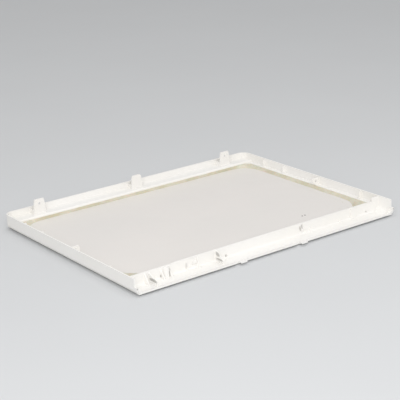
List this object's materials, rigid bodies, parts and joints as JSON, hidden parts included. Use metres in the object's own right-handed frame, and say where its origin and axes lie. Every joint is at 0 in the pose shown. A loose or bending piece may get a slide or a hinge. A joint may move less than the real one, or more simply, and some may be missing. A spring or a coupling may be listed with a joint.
{
  "type": "washing machine worktop cover",
  "caption": "White moulded worktop cover with a glued laminated board, three rear screw lugs, side ribs and an open ribbed front, lying show face down.",
  "frame": {"origin": "bottom centre of the overall box: on the show face, halfway across the width and halfway between the front tongues' tips and the rear wall", "axes": "+X to the right along the width, +Y towards the rear edge with the screw lugs, +Z from the show face up to the open underside"},
  "size_m": [0.6, 0.467, 0.05],
  "materials": {
    "white_plastic": "fine satin moulded surface",
    "laminated_board": "smooth grey-white laminate on particle board",
    "hot_melt": "yellowish hot-melt adhesive with a soft sheen"
  },
  "bodies": {
    "root": {"frame": "white_plastic", "board": "laminated_board", "adhesive_bead": "hot_melt"}
  },
  "joints": []
}
